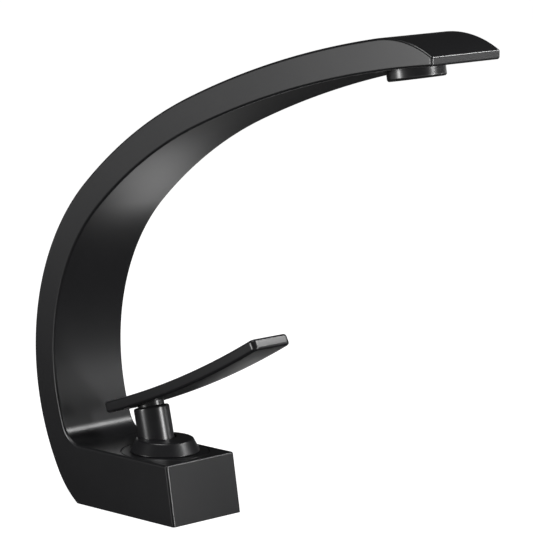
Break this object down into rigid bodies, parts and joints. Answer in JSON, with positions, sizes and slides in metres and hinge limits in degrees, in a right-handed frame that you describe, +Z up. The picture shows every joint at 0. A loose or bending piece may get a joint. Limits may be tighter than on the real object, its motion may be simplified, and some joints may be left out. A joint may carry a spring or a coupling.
{
  "type": "basin mixer tap",
  "caption": "Black single-lever deck mixer tap with a flat C-shaped ribbon spout, an aerator under its tip, and a long curved lever that lifts for flow and turns for temperature.",
  "frame": {"origin": "on the cartridge axis, in the plane of the deck under the foot block", "axes": "+X from the cartridge towards the spout's tip, +Z up, Y = 0 is the plane of symmetry"},
  "size_m": [0.2642, 0.052, 0.2924],
  "materials": {
    "black_finish": "satin",
    "brass": "satin",
    "steel": "satin",
    "cartridge_plastic": "matte",
    "aerator_plastic": "matte",
    "disc_ceramic": "polished",
    "rubber": "matte"
  },
  "bodies": {
    "tap_body": {"spout_body": "black_finish", "cover_ring": "black_finish", "retaining_nut": "brass", "cartridge_base": "cartridge_plastic", "inlet_seals": "rubber", "disc_seals": "rubber", "fixed_disc": "disc_ceramic", "cartridge_housing": "cartridge_plastic", "aerator_shell": "black_finish", "aerator_insert": "aerator_plastic", "flow_regulator": "aerator_plastic", "aerator_screen": "aerator_plastic", "aerator_washer": "rubber", "base_gasket": "rubber", "fixing_stud": "steel", "horseshoe_gasket": "rubber", "horseshoe_plate": "steel", "fixing_nut": "brass"},
    "swivel": {"cartridge_turret": "cartridge_plastic", "turret_seal": "rubber", "spindle_pin": "steel", "handle_dome": "black_finish"},
    "lever": {"spindle": "brass", "handle_stem": "black_finish", "lever_paddle": "black_finish", "lever_stud": "steel", "set_screw": "steel"},
    "disc_slider": {"moving_disc": "disc_ceramic", "disc_carriage": "cartridge_plastic"}
  },
  "joints": [
    {"name": "temperature_turn", "type": "hinge", "parent": "tap_body", "child": "swivel", "pos_m": [0, 0, 0.031], "axis": [0, 0, 1], "range_deg": [-45, 45]},
    {"name": "flow_lift", "type": "hinge", "parent": "swivel", "child": "lever", "pos_m": [0, 0, 0.031], "axis": [0, -1, 0], "range_deg": [-13.5, 8]},
    {"name": "disc_slide", "type": "slide", "parent": "swivel", "child": "disc_slider", "axis": [1, 0, 0], "range_m": [-0.0014, 0.0009]}
  ],
  "couplings": [
    {"joint": "disc_slide", "follows": "flow_lift", "m_per_rad": 0.00588}
  ]
}
